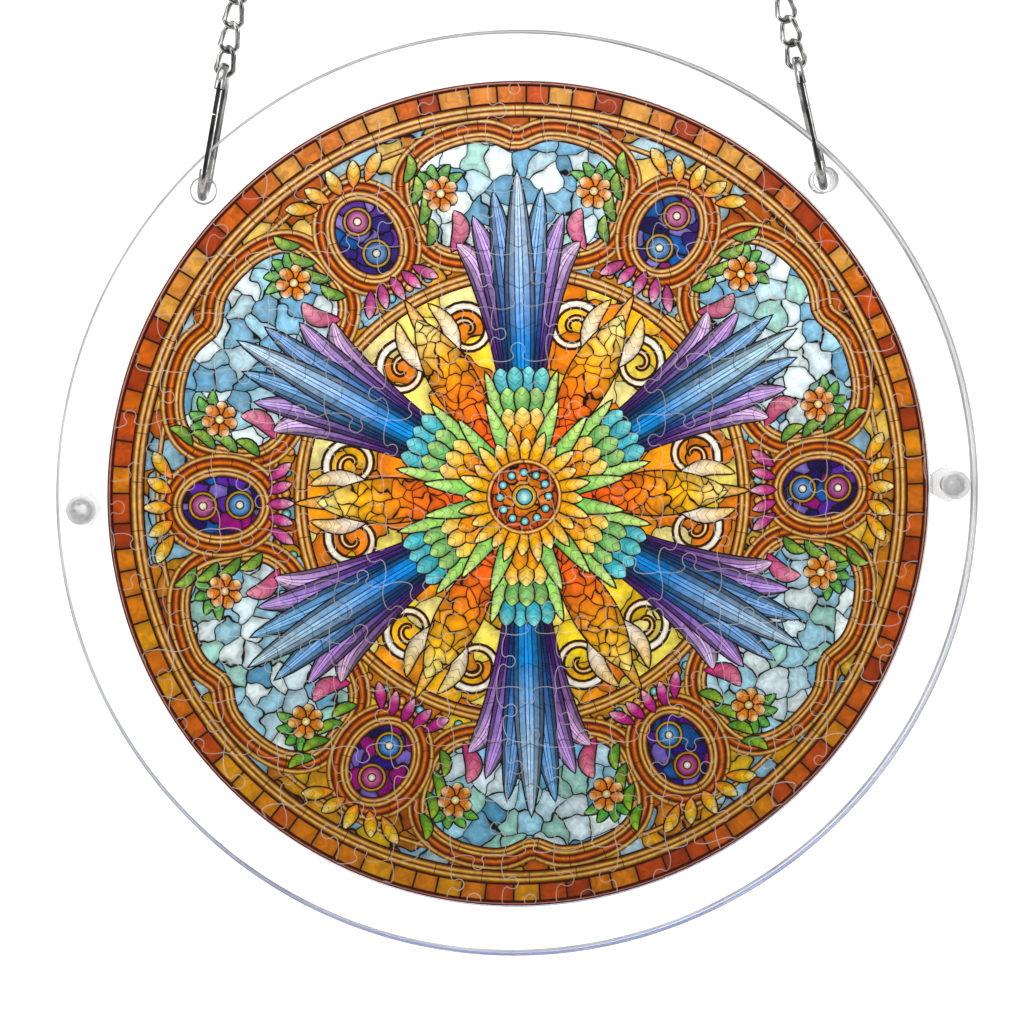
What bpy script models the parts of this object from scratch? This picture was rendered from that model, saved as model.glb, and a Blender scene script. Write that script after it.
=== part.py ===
# A round acrylic jigsaw suncatcher on a chain.
# Units are metres, +Z is up and the picture faces -Y. The origin is the point where a hook would
# carry the chain, under its middle link. The disc hangs below it, centred on X and Y.

import math

import bmesh
import bpy
from mathutils import Matrix, Vector

# Clear housing: a flat cover in front of a tray whose round recess holds the puzzle
DISC_DIAMETER = 0.250
CLEAR_MARGIN = 0.0133
COVER_THICKNESS = 0.0035
TRAY_FLOOR = 0.0031
RIM_BEVEL = 0.0004

# Jigsaw picture
PUZZLE_THICKNESS = 0.0025

# Clear plastic screws and nuts
SCREW_SHANK_DIAMETER = 0.0040
SCREW_HEAD_DIAMETER = 0.0078
SCREW_HEAD_HEIGHT = 0.0024
SCREW_HEAD_FLAT = 0.0048
SCREW_HEAD_SIDE = 0.0008
SCREW_END = 0.0010
SCREW_END_BEVEL = 0.0003
CROSS_LENGTH = 0.0040
CROSS_WIDTH = 0.0009
CROSS_DEPTH = 0.0011
NUT_ACROSS_FLATS = 0.0090
NUT_THICKNESS = 0.0032
LEFT_NUT_TURN = math.radians(30)

# Long oval rings through the hanging holes
RING_WIRE = 0.0026
RING_EYE_LENGTH = 0.0322
RING_SIDE_PLAY = 0.0010
RING_HOLE_PLAY = 0.0010
RING_TURN_ROOM = 0.0005
RING_JOINT_DROP = 0.0122
RING_TURNS = {"left": math.radians(-5), "right": math.radians(-12)}
HANGING_HOLE_ANGLE = math.radians(45)

# Twisted chain
LINK_WIRE = 0.0015
LINK_EYE_LENGTH = 0.0062
LINK_EYE_PLAY = 0.00035
LINK_TWIST = math.radians(-90)
LINK_REST_TURN = math.radians(30)
LINKS_PER_SIDE = 55

# Fits
CLEARANCE = 0.0003
LINK_BITE = 0.0003

# Facets
DISC_SIDES = 56
SCREW_SIDES = 16
LINK_STATIONS = 6
LINK_SIDES = 3
RING_BOW_POINTS = 8
RING_BEVEL_RESOLUTION = 2
DOME_ANGLES = [math.radians(angle) for angle in (70, 45, 20)]
SMOOTH_ANGLE = math.radians(35)
HALVINGS = 50

DISC_RADIUS = DISC_DIAMETER / 2
PUZZLE_RADIUS = DISC_RADIUS - CLEAR_MARGIN
RECESS_RADIUS = PUZZLE_RADIUS + CLEARANCE
RECESS_DEPTH = PUZZLE_THICKNESS + CLEARANCE
TRAY_THICKNESS = TRAY_FLOOR + RECESS_DEPTH
DISC_THICKNESS = COVER_THICKNESS + CLEARANCE + TRAY_THICKNESS
FRONT = DISC_THICKNESS / 2
BACK = -FRONT
TRAY_TOP = BACK + TRAY_THICKNESS
COVER_BACK = TRAY_TOP + CLEARANCE
HOLE_CIRCLE_RADIUS = (DISC_RADIUS + RECESS_RADIUS) / 2
SCREW_HOLE_DIAMETER = SCREW_SHANK_DIAMETER + 2 * CLEARANCE

RING_INNER_BOW = FRONT + RING_SIDE_PLAY
RING_BOW = RING_INNER_BOW + RING_WIRE / 2
RING_SAG = RING_INNER_BOW - math.sqrt(RING_INNER_BOW**2 - FRONT**2)
HANGING_HOLE_DIAMETER = RING_SAG + RING_WIRE + CLEARANCE + RING_HOLE_PLAY

# The links' wire has few sides, of the round wire's area, with an edge towards the eye
LINK_SECTION = LINK_WIRE * math.sqrt(math.pi / (2 * LINK_SIDES * math.sin(2 * math.pi / LINK_SIDES)))
LINK_EYE_WIDTH = max(RING_WIRE, LINK_WIRE) + 2 * LINK_EYE_PLAY
LINK_BOW = LINK_EYE_WIDTH / 2 + LINK_SECTION
LINK_STRAIGHT = LINK_EYE_LENGTH - LINK_EYE_WIDTH

ACRYLIC = {"color": (0.96, 0.98, 1.0), "roughness": 0.03, "metallic": 0.0, "clear": 1.0, "ior": 1.49}
CLEAR_NYLON = {"color": (0.93, 0.94, 0.95), "roughness": 0.18, "metallic": 0.0, "clear": 0.9, "ior": 1.53}
PRINT = {"color": (0.85, 0.45, 0.12), "roughness": 0.3, "metallic": 0.0, "clear": 0.0, "ior": 1.49}
NICKEL = {"color": (0.78, 0.77, 0.75), "roughness": 0.14, "metallic": 1.0, "clear": 0.0, "ior": 1.5}


def clear_scene():
    for obj in list(bpy.data.objects):
        bpy.data.objects.remove(obj, do_unlink=True)


def make_collection(name):
    collection = bpy.data.collections.new(name)
    bpy.context.scene.collection.children.link(collection)
    return collection


def make_material(name, look):
    material = bpy.data.materials.new(name)
    material.use_nodes = True
    shader = material.node_tree.nodes["Principled BSDF"]
    shader.inputs["Base Color"].default_value = (*look["color"], 1.0)
    shader.inputs["Roughness"].default_value = look["roughness"]
    shader.inputs["Metallic"].default_value = look["metallic"]
    shader.inputs["Transmission Weight"].default_value = look["clear"]
    shader.inputs["IOR"].default_value = look["ior"]
    return material


def add_object(name, data, collection, parent=None):
    obj = bpy.data.objects.new(name, data)
    collection.objects.link(obj)
    obj.parent = parent
    return obj


def mark_as_cutter(obj):
    obj.hide_render = True
    obj.display_type = "WIRE"


def turned(name, profile, sides, collection, parent=None):
    """A profile of (radius, height) points, top to bottom, turned about the local Z axis."""
    mesh = bpy.data.meshes.new(name)
    points = [(radius, 0.0, height) for radius, height in profile]
    mesh.from_pydata(points, [(i, i + 1) for i in range(len(points) - 1)], [])
    obj = add_object(name, mesh, collection, parent)
    screw = obj.modifiers.new("Turn", "SCREW")
    screw.axis = "Z"
    screw.steps = sides
    screw.render_steps = sides
    screw.use_merge_vertices = True
    screw.merge_threshold = 0.00001
    screw.use_smooth_shade = False
    return obj


def cut(obj, cutter):
    boolean = obj.modifiers.new(f"Cut {cutter.name}", "BOOLEAN")
    boolean.operation = "DIFFERENCE"
    boolean.solver = "EXACT"
    boolean.object = cutter


def plate_profile(radius, top, bottom, bevel):
    return [
        (0.0, top),
        (radius - bevel, top),
        (radius, top - bevel),
        (radius, bottom + bevel),
        (radius - bevel, bottom),
        (0.0, bottom),
    ]


def tray_profile():
    floor = BACK + TRAY_FLOOR
    return [
        (0.0, floor),
        (RECESS_RADIUS, floor),
        (RECESS_RADIUS, TRAY_TOP),
        *plate_profile(DISC_RADIUS, TRAY_TOP, BACK, RIM_BEVEL)[1:],
    ]


def screw_places():
    """Where the left and right screw stand, in the disc's own plane."""
    return {"left": (-HOLE_CIRCLE_RADIUS, 0.0), "right": (HOLE_CIRCLE_RADIUS, 0.0)}


def hanging_hole_places():
    across = HOLE_CIRCLE_RADIUS * math.sin(HANGING_HOLE_ANGLE)
    up = HOLE_CIRCLE_RADIUS * math.cos(HANGING_HOLE_ANGLE)
    return {"left": (-across, up), "right": (across, up)}


def make_hole_cutter(collection, parent):
    mesh = bpy.data.meshes.new("holes")
    bm = bmesh.new()
    holes = [(place, HANGING_HOLE_DIAMETER) for place in hanging_hole_places().values()]
    holes += [(place, SCREW_HOLE_DIAMETER) for place in screw_places().values()]
    for (across, up), diameter in holes:
        bmesh.ops.create_cone(
            bm,
            cap_ends=True,
            segments=SCREW_SIDES,
            radius1=diameter / 2,
            radius2=diameter / 2,
            depth=2 * DISC_THICKNESS,
            matrix=Matrix.Translation((across, up, 0.0)),
        )
    bm.to_mesh(mesh)
    bm.free()
    cutter = add_object("holes", mesh, collection, parent)
    mark_as_cutter(cutter)
    return cutter


def make_plates(parts, cutters, disc, acrylic):
    holes = make_hole_cutter(cutters, disc)
    cover = plate_profile(DISC_RADIUS, FRONT, COVER_BACK, RIM_BEVEL)
    for name, profile in (("front_cover", cover), ("back_tray", tray_profile())):
        plate = turned(name, profile, DISC_SIDES, parts, disc)
        plate.data.materials.append(acrylic)
        cut(plate, holes)


def make_puzzle(parts, disc, material):
    bottom = BACK + TRAY_FLOOR + CLEARANCE / 2
    profile = [
        (0.0, bottom + PUZZLE_THICKNESS),
        (PUZZLE_RADIUS, bottom + PUZZLE_THICKNESS),
        (PUZZLE_RADIUS, bottom),
        (0.0, bottom),
    ]
    turned("puzzle_disc", profile, DISC_SIDES, parts, disc).data.materials.append(material)


def screw_profile(seat, top, end):
    """A round-topped head on a shank whose far end is eased."""
    head = SCREW_HEAD_DIAMETER / 2
    flat = SCREW_HEAD_FLAT / 2
    shank = SCREW_SHANK_DIAMETER / 2
    shoulder = seat + SCREW_HEAD_SIDE
    points = [(0.0, top), (flat, top)]
    points += [
        (flat + (head - flat) * math.cos(angle), shoulder + (top - shoulder) * math.sin(angle))
        for angle in DOME_ANGLES
    ]
    points += [(head, shoulder), (head, seat), (shank, seat)]
    points += [(shank, end + SCREW_END_BEVEL), (shank - SCREW_END_BEVEL, end), (0.0, end)]
    return points


def make_cross_cutter(name, place, top, along_x, cutters, disc):
    mesh = bpy.data.meshes.new(name)
    bm = bmesh.new()
    bmesh.ops.create_cube(bm, size=1.0)
    size = (CROSS_LENGTH, CROSS_WIDTH) if along_x else (CROSS_WIDTH, CROSS_LENGTH)
    bmesh.ops.scale(bm, vec=(*size, 2 * CROSS_DEPTH), verts=bm.verts)
    bm.to_mesh(mesh)
    bm.free()
    cutter = add_object(name, mesh, cutters, disc)
    cutter.location = (*place, top)
    mark_as_cutter(cutter)
    return cutter


def make_screws(parts, cutters, disc, material):
    seat = FRONT + CLEARANCE
    top = seat + SCREW_HEAD_HEIGHT
    end = BACK - CLEARANCE - NUT_THICKNESS - SCREW_END
    for side, place in screw_places().items():
        screw = turned(f"{side}_screw", screw_profile(seat, top, end), SCREW_SIDES, parts, disc)
        screw.location = (*place, 0.0)
        screw.data.materials.append(material)
        for along_x in (True, False):
            name = f"{side}_cross_{'x' if along_x else 'y'}"
            cut(screw, make_cross_cutter(name, place, top, along_x, cutters, disc))


def make_nuts(parts, cutters, disc, material):
    corner_radius = NUT_ACROSS_FLATS / 2 / math.cos(math.pi / 6)
    middle = BACK - CLEARANCE - NUT_THICKNESS / 2
    for side, place in screw_places().items():
        mesh = bpy.data.meshes.new(f"{side}_nut")
        bm = bmesh.new()
        bmesh.ops.create_cone(
            bm,
            cap_ends=True,
            segments=6,
            radius1=corner_radius,
            radius2=corner_radius,
            depth=NUT_THICKNESS,
        )
        bm.to_mesh(mesh)
        bm.free()
        nut = add_object(f"{side}_nut", mesh, parts, disc)
        nut.location = (*place, middle)
        nut.rotation_euler.z = LEFT_NUT_TURN if side == "left" else 0.0
        nut.data.materials.append(material)
        bore_mesh = bpy.data.meshes.new(f"{side}_nut_bore")
        bm = bmesh.new()
        bmesh.ops.create_cone(
            bm,
            cap_ends=True,
            segments=SCREW_SIDES,
            radius1=SCREW_HOLE_DIAMETER / 2,
            radius2=SCREW_HOLE_DIAMETER / 2,
            depth=2 * NUT_THICKNESS,
        )
        bm.to_mesh(bore_mesh)
        bm.free()
        bore = add_object(f"{side}_nut_bore", bore_mesh, cutters, disc)
        bore.location = (*place, middle)
        mark_as_cutter(bore)
        cut(nut, bore)


def joint_shift(gap, turn):
    """How far two hooked wires stand into each other's eye, for a gap between them at a bend."""
    return gap + LINK_WIRE * (1 - math.cos(turn / 2))


def down_direction(slope):
    """A unit vector that falls to the right by an angle below level."""
    return Vector((math.cos(slope), 0.0, -math.sin(slope)))


def right_half(slope):
    """The right side of the chain for one slope of its straight run: links, ring and hanging hole."""
    level = down_direction(0.0)
    steep = down_direction(slope)
    shoulder = down_direction(slope / 2)
    turn = slope / 2
    crown = Vector((LINK_EYE_LENGTH / 2, 0.0, LINK_WIRE / 2))
    links = []
    start = crown - (level + shoulder).normalized() * joint_shift(CLEARANCE, turn)
    links.append((start, shoulder))
    start = start + shoulder * LINK_EYE_LENGTH
    start = start - (shoulder + steep).normalized() * joint_shift(-LINK_BITE, turn)
    for _ in range(LINKS_PER_SIDE - 1):
        links.append((start, steep))
        start = start + steep * (LINK_EYE_LENGTH + LINK_BITE)
    chain_end = start - steep * LINK_BITE
    ring_top = chain_end - steep * CLEARANCE
    ring_bottom = ring_top + steep * RING_EYE_LENGTH
    hole = ring_bottom + steep * (HANGING_HOLE_DIAMETER / 2 - RING_SAG - CLEARANCE - RING_TURN_ROOM)
    return links, ring_bottom, hole


def solve_slope():
    """The slope at which the straight run ends over the hanging hole, found by halving."""
    goal = hanging_hole_places()["right"][0]
    low = 0.0
    high = math.radians(90)
    for _ in range(HALVINGS):
        middle = (low + high) / 2
        if right_half(middle)[2].x > goal:
            low = middle
        else:
            high = middle
    return (low + high) / 2


def make_link_mesh():
    """One twisted link along Z: a few-sided section is spun into a ring, pulled long and twisted."""
    mesh = bpy.data.meshes.new("link")
    bm = bmesh.new()
    angles = [math.pi + 2 * math.pi * i / LINK_SIDES for i in range(LINK_SIDES)]
    corners = [(LINK_SECTION * math.cos(angle), LINK_SECTION * math.sin(angle)) for angle in angles]
    section = [bm.verts.new((LINK_BOW + outward, 0.0, aside)) for outward, aside in corners]
    edges = [bm.edges.new((section[i - 1], section[i])) for i in range(LINK_SIDES)]
    bmesh.ops.spin(
        bm,
        geom=[*section, *edges],
        axis=(0.0, 0.0, 1.0),
        cent=(0.0, 0.0, 0.0),
        angle=2 * math.pi,
        steps=LINK_STATIONS,
        use_merge=True,
    )
    half_step = math.pi / LINK_STATIONS
    bmesh.ops.rotate(bm, verts=bm.verts, matrix=Matrix.Rotation(half_step, 3, "Z"))
    bmesh.ops.recalc_face_normals(bm, faces=bm.faces)
    half_length = LINK_STRAIGHT / 2 + LINK_BOW
    for vert in bm.verts:
        vert.co.x /= math.cos(half_step)
        vert.co.y += math.copysign(LINK_STRAIGHT / 2, vert.co.y)
    bmesh.ops.rotate(bm, verts=bm.verts, matrix=Matrix.Rotation(math.radians(90), 3, "X"))
    for vert in bm.verts:
        share = min(max((vert.co.z / half_length + 1) / 2, 0.0), 1.0)
        eased = share * share * (3 - 2 * share)
        vert.co.rotate(Matrix.Rotation(LINK_TWIST * eased, 3, "Z"))
    bm.to_mesh(mesh)
    bm.free()
    return mesh


def link_matrix(start, direction, roll):
    """Places a link whose eye begins at start and runs along direction, turned by roll about it."""
    along = direction.normalized()
    depth = Vector((0.0, 1.0, 0.0))
    across = depth.cross(along)
    frame = Matrix((across, depth, along)).transposed()
    centre = start + along * (LINK_EYE_LENGTH / 2)
    return Matrix.Translation(centre) @ (frame @ Matrix.Rotation(roll, 3, "Z")).to_4x4()


def mirrored(point):
    return Vector((-point.x, point.y, point.z))


def chain_links(slope):
    """Every link's place from the left ring over the hook to the right ring, as start and direction."""
    right, _, _ = right_half(slope)
    left = []
    for start, direction in reversed(right):
        end = start + direction * LINK_EYE_LENGTH
        left.append((mirrored(end), mirrored(-direction)))
    middle = (Vector((-LINK_EYE_LENGTH / 2, 0.0, LINK_WIRE / 2)), down_direction(0.0))
    return left, middle, right


def joined_links(name, link, matrices, collection):
    mesh = bpy.data.meshes.new(name)
    bm = bmesh.new()
    for matrix in matrices:
        copy = link.copy()
        copy.transform(matrix)
        bm.from_mesh(copy)
        bpy.data.meshes.remove(copy)
    bm.to_mesh(mesh)
    bm.free()
    return add_object(name, mesh, collection)


def make_chain(slope, parts, cutters, material):
    """The links of each strand bite a little where they bear, so that a strand is one solid."""
    left, middle, right = chain_links(slope)
    link = make_link_mesh()
    count = len(left) + 1 + len(right)
    first_roll = RING_TURNS["left"] + LINK_REST_TURN
    last_roll = LINK_TWIST - RING_TURNS["right"] - LINK_REST_TURN
    matrices = []
    for index, (start, direction) in enumerate([*left, middle, *right]):
        # A turn spread over the whole chain lets both end links rest askew on their rings
        roll = first_roll + (last_roll - first_roll) * index / (count - 1)
        matrices.append(link_matrix(start, direction, roll))
    strands = {"left_chain": matrices[: len(left)], "right_chain": matrices[len(left) + 1 :]}
    for name, places in strands.items():
        strand = joined_links(name, link, places[0::2], parts)
        others = joined_links(f"{name}_others", link, places[1::2], cutters)
        mark_as_cutter(others)
        join = strand.modifiers.new("Join", "BOOLEAN")
        join.operation = "UNION"
        join.solver = "EXACT"
        join.object = others
        strand.data.materials.append(material)
        others.data.materials.append(material)
    hanging = joined_links("hanging_link", link, [matrices[len(left)]], parts)
    hanging.data.materials.append(material)
    bpy.data.meshes.remove(link)


def ring_path():
    """An open oval from one side of its joint round to the other, along and across from the eye's foot."""
    straight = RING_EYE_LENGTH - 2 * RING_INNER_BOW
    bottom = RING_INNER_BOW
    top = bottom + straight
    joint = RING_EYE_LENGTH - RING_JOINT_DROP
    steps = [math.pi * i / (RING_BOW_POINTS - 1) for i in range(RING_BOW_POINTS)]
    points = [(joint + CLEARANCE / 2, RING_BOW)]
    points += [(top + RING_BOW * math.sin(a), RING_BOW * math.cos(a)) for a in steps]
    points += [(bottom - RING_BOW * math.sin(a), -RING_BOW * math.cos(a)) for a in steps]
    points.append((joint - CLEARANCE / 2, RING_BOW))
    return points


def make_rings(slope, parts, material):
    _, bottom, _ = right_half(slope)
    lean = math.pi / 2 - slope
    for side, place, tilt in (("left", mirrored(bottom), lean), ("right", bottom, -lean)):
        curve = bpy.data.curves.new(f"{side}_ring", "CURVE")
        curve.dimensions = "3D"
        curve.bevel_depth = RING_WIRE / 2
        curve.bevel_resolution = RING_BEVEL_RESOLUTION
        curve.use_fill_caps = True
        spline = curve.splines.new("POLY")
        path = ring_path()
        spline.points.add(len(path) - 1)
        turn = RING_TURNS[side]
        for point, (along, across) in zip(spline.points, path):
            point.co = (across * math.sin(turn), along, across * math.cos(turn), 1.0)
        ring = add_object(f"{side}_ring", curve, parts)
        ring.location = place
        ring.rotation_euler = (math.pi / 2, tilt, 0.0)
        curve.materials.append(material)


def make_disc_centre(slope, collection):
    """An empty at the disc's centre whose Z axis faces the viewer, which carries the disc's pieces."""
    _, _, hole = right_half(slope)
    centre = add_object("disc_centre", None, collection)
    centre.location = (0.0, 0.0, hole.z - hanging_hole_places()["right"][1])
    centre.rotation_euler = (math.pi / 2, 0.0, 0.0)
    return centre


def shade_parts(parts):
    for obj in parts.objects:
        if obj.type == "MESH":
            obj.data.shade_smooth()
            obj.data.set_sharp_from_angle(angle=SMOOTH_ANGLE)


def main():
    clear_scene()
    parts = make_collection("acrylic_puzzle_suncatcher")
    cutters = make_collection("cutters")
    slope = solve_slope()
    disc = make_disc_centre(slope, parts)
    acrylic = make_material("clear_acrylic", ACRYLIC)
    nylon = make_material("clear_nylon", CLEAR_NYLON)
    picture = make_material("printed_acrylic", PRINT)
    nickel = make_material("nickel_plated_steel", NICKEL)
    make_plates(parts, cutters, disc, acrylic)
    make_puzzle(parts, disc, picture)
    make_screws(parts, cutters, disc, nylon)
    make_nuts(parts, cutters, disc, nylon)
    make_rings(slope, parts, nickel)
    make_chain(slope, parts, cutters, nickel)
    shade_parts(parts)
    bpy.context.view_layer.update()


main()
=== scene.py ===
import math
import random

import bpy
from mathutils import Matrix, Vector


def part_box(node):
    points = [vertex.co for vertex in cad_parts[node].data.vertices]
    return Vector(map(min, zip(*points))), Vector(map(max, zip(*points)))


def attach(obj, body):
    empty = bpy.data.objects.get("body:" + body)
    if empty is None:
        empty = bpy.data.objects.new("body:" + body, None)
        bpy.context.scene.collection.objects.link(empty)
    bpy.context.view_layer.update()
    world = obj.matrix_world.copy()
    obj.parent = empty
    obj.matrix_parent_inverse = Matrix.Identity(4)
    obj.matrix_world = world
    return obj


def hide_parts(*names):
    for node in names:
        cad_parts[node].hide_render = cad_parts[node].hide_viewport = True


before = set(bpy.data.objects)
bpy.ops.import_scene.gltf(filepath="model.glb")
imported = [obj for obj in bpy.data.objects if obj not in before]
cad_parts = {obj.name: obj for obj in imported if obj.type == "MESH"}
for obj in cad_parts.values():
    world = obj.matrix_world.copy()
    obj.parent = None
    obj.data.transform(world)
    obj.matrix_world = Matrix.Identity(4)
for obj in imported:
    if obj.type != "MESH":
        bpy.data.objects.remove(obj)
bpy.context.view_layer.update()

mm = 0.001
hair = 0.01 * mm  # the slack when faces and edges are picked by their place
chance = random.Random(41)

coverLow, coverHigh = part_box("front_cover")
trayLow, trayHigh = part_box("back_tray")
puzzleLow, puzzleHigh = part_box("puzzle_disc")
discRadius = (coverHigh.x - coverLow.x) / 2
puzzleRadius = (puzzleHigh.x - puzzleLow.x) / 2
discCentre = Vector((0.0, 0.0, (coverLow.z + coverHigh.z) / 2))
discHalf = (trayHigh.y - coverLow.y) / 2


# small helpers

def linear(hexText):
    values = [int(hexText[i:i + 2], 16) / 255 for i in (1, 3, 5)]
    return tuple(v / 12.92 if v <= 0.04045 else ((v + 0.055) / 1.055) ** 2.4 for v in values)


def addNode(tree, kind, inputs, **settings):
    # an input is a value, a socket or a node, whose first output is taken
    # stops are a ramp's colours and places
    node = tree.nodes.new("ShaderNode" + kind)
    stops = settings.pop("stops", [])
    for _ in stops[2:]:
        node.color_ramp.elements.new(0.5)
    for i, (colour, place) in enumerate(stops):
        node.color_ramp.elements[i].position = place
        node.color_ramp.elements[i].color = (*linear(colour), 1)
    if settings.pop("stepped", False):
        node.color_ramp.interpolation = "CONSTANT"
    for name, value in settings.items():
        setattr(node, name, value)
    for name, value in inputs.items():
        if isinstance(value, (bpy.types.NodeSocket, bpy.types.Node)):
            source = value.outputs[0] if isinstance(value, bpy.types.Node) else value
            tree.links.new(source, node.inputs[name])
        else:
            node.inputs[name].default_value = value
    return node


def newMaterial(name, values):
    material = bpy.data.materials.new(name)
    material.use_nodes = True
    tree = material.node_tree
    shader = tree.nodes["Principled BSDF"]
    for socket, value in values.items():
        shader.inputs[socket].default_value = value
    return material, tree, shader


def grainyMaterial(name, values, tone=None, dull=None, dents=None):
    # fine noise in the colour (size, detail, stops), in the roughness (size, detail, least, most),
    # and in the surface, with the roughness's own grain (strength, depth)
    material, tree, shader = newMaterial(name, values)
    place = addNode(tree, "TexCoord", {}).outputs["Object"]
    if tone:
        scale, detail, stops = tone
        grain = addNode(tree, "TexNoise", {"Vector": place, "Scale": scale, "Detail": detail})
        colour = addNode(tree, "ValToRGB", {"Fac": grain}, stops=stops)
        tree.links.new(colour.outputs["Color"], shader.inputs["Base Color"])
    if dull:
        scale, detail, least, most = dull
        marks = addNode(tree, "TexNoise", {"Vector": place, "Scale": scale, "Detail": detail})
        roughness = addNode(tree, "MapRange", {
            "Value": marks, "From Min": 0.3, "From Max": 0.7, "To Min": least, "To Max": most})
        tree.links.new(roughness.outputs["Result"], shader.inputs["Roughness"])
    if dents:
        strength, depth = dents
        bump = addNode(tree, "Bump", {"Height": marks, "Strength": strength, "Distance": depth})
        tree.links.new(bump.outputs["Normal"], shader.inputs["Normal"])
    return material


def clearSelection():
    for obj in bpy.context.selected_objects:
        obj.select_set(False)


def focus(piece):
    clearSelection()
    piece.select_set(True)
    bpy.context.view_layer.objects.active = piece


def pick(piece, kind, wanted):
    # opens the piece with the wanted faces selected, or the edges that are wanted for their two ends
    focus(piece)
    bpy.ops.object.mode_set(mode="EDIT")
    bpy.ops.mesh.select_mode(type=kind)
    bpy.ops.mesh.select_all(action="DESELECT")
    bpy.ops.object.mode_set(mode="OBJECT")
    points = piece.data.vertices
    for part in piece.data.polygons if kind == "FACE" else piece.data.edges:
        part.select = wanted(part) if kind == "FACE" else wanted(*(points[i].co for i in part.vertices))
    bpy.ops.object.mode_set(mode="EDIT")


def finishEdit():
    bpy.ops.mesh.select_all(action="DESELECT")
    bpy.ops.object.mode_set(mode="OBJECT")


def faceOutwards(piece):
    focus(piece)
    bpy.ops.object.mode_set(mode="EDIT")
    bpy.ops.mesh.select_all(action="SELECT")
    bpy.ops.mesh.normals_make_consistent(inside=False)
    finishEdit()


def cutOut(piece, tool):
    focus(piece)
    modifier = piece.modifiers.new("Cut", "BOOLEAN")
    modifier.operation = "DIFFERENCE"
    modifier.solver = "EXACT"
    modifier.object = tool
    bpy.ops.object.modifier_apply(modifier=modifier.name)
    bpy.data.objects.remove(tool)


def applyPlace(piece):
    focus(piece)
    bpy.ops.object.transform_apply(location=True, rotation=True, scale=True)


def newShape(add, stretch=(1, 1, 1), **settings):
    clearSelection()
    add(**settings)
    shape = bpy.context.object
    shape.scale = stretch
    applyPlace(shape)
    return shape


def smoothed(piece, degrees=30):
    focus(piece)
    bpy.ops.object.shade_smooth_by_angle(angle=math.radians(degrees))


def finished(piece, name, material, slotName, *nodes):
    piece.name = name
    piece.data.name = name
    piece.data.materials.clear()
    for part in material if isinstance(material, list) else [material]:
        piece.data.materials.append(part)
    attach(piece, "root")
    if nodes:
        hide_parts(*nodes)
    return piece


# camera, fitted to the disc's outline, the picture's edge, the holes and the screws

view = {
    "place": (-83.1, -738.8, 42.4),  # from the middle of the disc's front face, mm
    "turn": 6.13,
    "down": 3.56,
    "roll": -1.31,
    "focalPixels": 2764,
    "pixels": 1024,
}


def makeCamera():
    turn, down, roll = (math.radians(view[k]) for k in ("turn", "down", "roll"))
    ahead = Vector((math.sin(turn) * math.cos(down), math.cos(turn) * math.cos(down), -math.sin(down)))
    right = Vector((math.cos(turn), -math.sin(turn), 0.0))
    up = right.cross(ahead)
    rolledRight = right * math.cos(roll) + up * math.sin(roll)
    rolledUp = up * math.cos(roll) - right * math.sin(roll)
    clearSelection()
    bpy.ops.object.camera_add()
    camera = bpy.context.object
    camera.name = "photoCamera"
    camera.data.sensor_width = 36
    camera.data.lens = 36 * view["focalPixels"] / view["pixels"]
    camera.data.clip_start = 0.01
    camera.data.clip_end = 50
    place = discCentre + Vector((0.0, coverLow.y, 0.0)) + Vector(view["place"]) * mm
    frameAxes = Matrix((rolledRight, rolledUp, -ahead)).transposed().to_4x4()
    camera.matrix_world = Matrix.Translation(place) @ frameAxes
    bpy.context.scene.camera = camera


makeCamera()
print("camera set")


# studio: white paper sweep, big soft lights, and a dark card that only mirrors see

studio = {
    "paper": "#fbfbfb",
    "wallBehind": 2.4,
    "floorBelow": 0.34,
    "size": 7.0,
    "floorInFront": 0.3,
    "bend": 0.45,
    "bendSteps": 16,
    "worldColour": "#f6f6f7",
    "roomLight": 0.5,
    "cardInFront": 2.2,
    "cardSize": 3.4,
    "cardColour": "#626264",
    # offset from the disc's middle, width and height in metres, watts
    "lamps": {
        "leftSoftbox": ((-1.2, -0.8, 0.5), (0.7, 1.5), 6.8),
        "rightSoftbox": ((1.25, -0.75, 0.2), (0.6, 1.4), 5.1),
        "topSoftbox": ((0.0, -0.35, 1.35), (1.6, 0.9), 5.4),
        "paperLight": ((0.0, 0.95, 1.3), (1.8, 0.7), 34),
    },
}


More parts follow.
